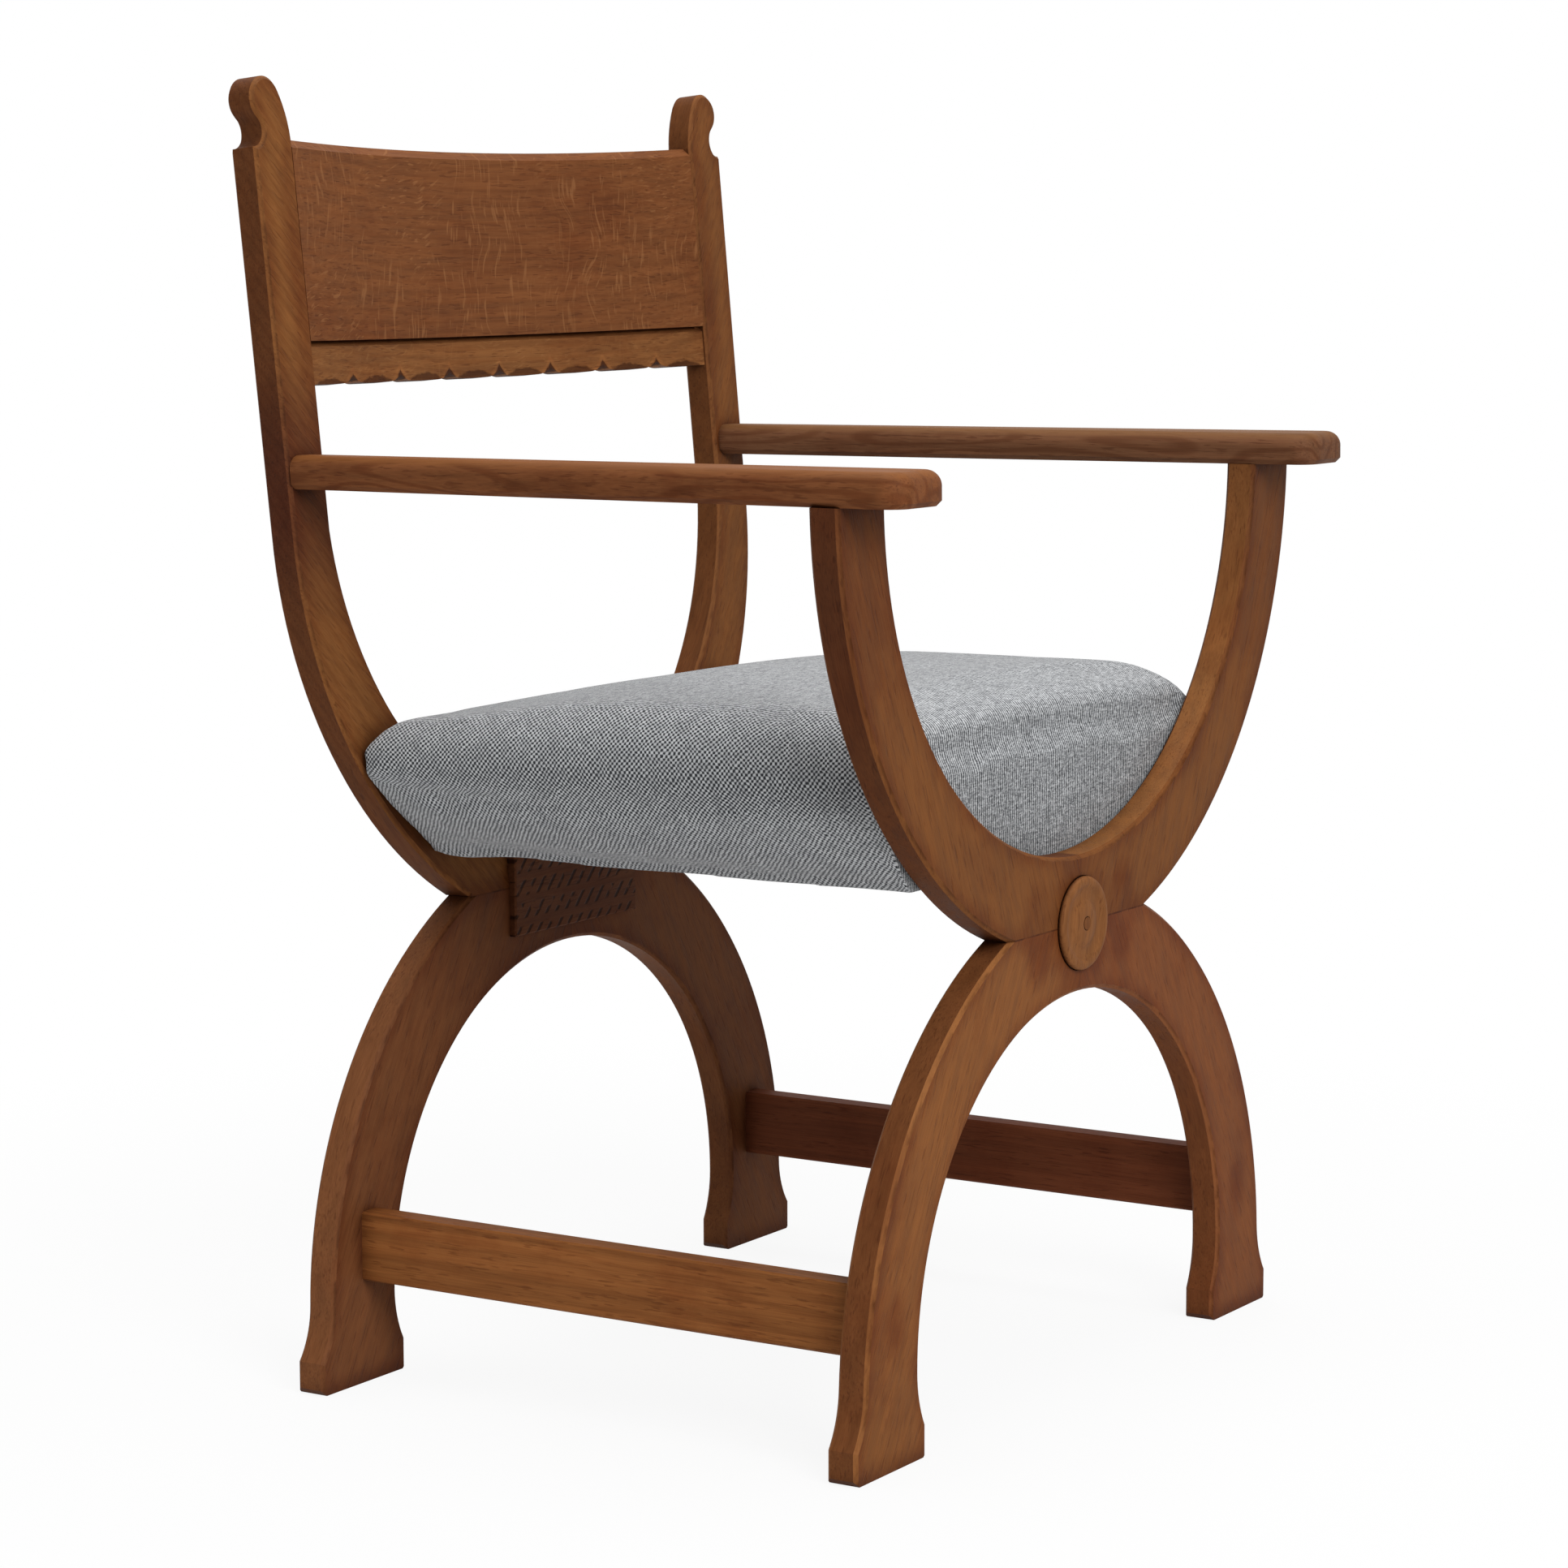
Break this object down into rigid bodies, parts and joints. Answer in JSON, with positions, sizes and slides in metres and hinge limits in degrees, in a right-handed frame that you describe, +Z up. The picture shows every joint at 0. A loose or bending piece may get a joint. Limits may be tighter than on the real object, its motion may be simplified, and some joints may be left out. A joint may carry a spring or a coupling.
{
  "type": "armchair",
  "caption": "Oak armchair with crossed curved frames at front and back, flat tapering arms, a bowed back board over a scalloped rail, and a padded tweed seat.",
  "frame": {"origin": "on the floor, under the middle of the chair's bounding box", "axes": "+Z up; the sitter faces -Y and the back board is on +Y; the sitter's left arm is on +X"},
  "size_m": [0.6572, 0.575, 0.9198],
  "materials": {
    "oak_upright": "aged oiled oak, satin",
    "oak_leg": "aged oiled oak, satin",
    "oak_post": "aged oiled oak, satin",
    "oak_arm": "aged oiled oak, worn paler on top",
    "oak_board": "quarter-sawn oak with pale flecks, satin",
    "oak_rail": "aged oiled oak, satin",
    "oak_stretcher": "aged oiled oak, satin",
    "oak_rosette": "turned oak, satin",
    "oak_block": "dark oiled oak with tool marks",
    "tenon_wood": "plain beech",
    "seat_wood": "plain beech",
    "tweed": "grey and white tweed on a dark ground",
    "padding": "upholstery foam",
    "webbing": "jute webbing",
    "lining": "black lining cloth",
    "steel": "plain steel"
  },
  "bodies": {
    "root": {"front_upright_left": "oak_upright", "front_upright_right": "oak_upright", "front_leg_left": "oak_leg", "front_leg_right": "oak_leg", "back_leg_left": "oak_leg", "back_leg_right": "oak_leg", "back_post_left": "oak_post", "back_post_right": "oak_post", "armrest_left": "oak_arm", "armrest_right": "oak_arm", "back_panel": "oak_board", "scalloped_rail": "oak_rail", "stretcher_left": "oak_stretcher", "stretcher_right": "oak_stretcher", "front_rosette": "oak_rosette", "rosette_plug": "oak_rosette", "front_crossing_block": "oak_block", "back_crossing_block": "oak_block", "front_crossing_tenons": "tenon_wood", "back_crossing_tenons": "tenon_wood", "arm_tenons": "tenon_wood", "seat_rail_front": "seat_wood", "seat_rail_back": "seat_wood", "seat_rail_left": "seat_wood", "seat_rail_right": "seat_wood", "seat_corner_blocks": "seat_wood", "seat_cover": "tweed", "seat_foam": "padding", "seat_webbing_long": "webbing", "seat_webbing_cross": "webbing", "seat_dust_cover": "lining", "seat_screws": "steel"}
  },
  "joints": []
}
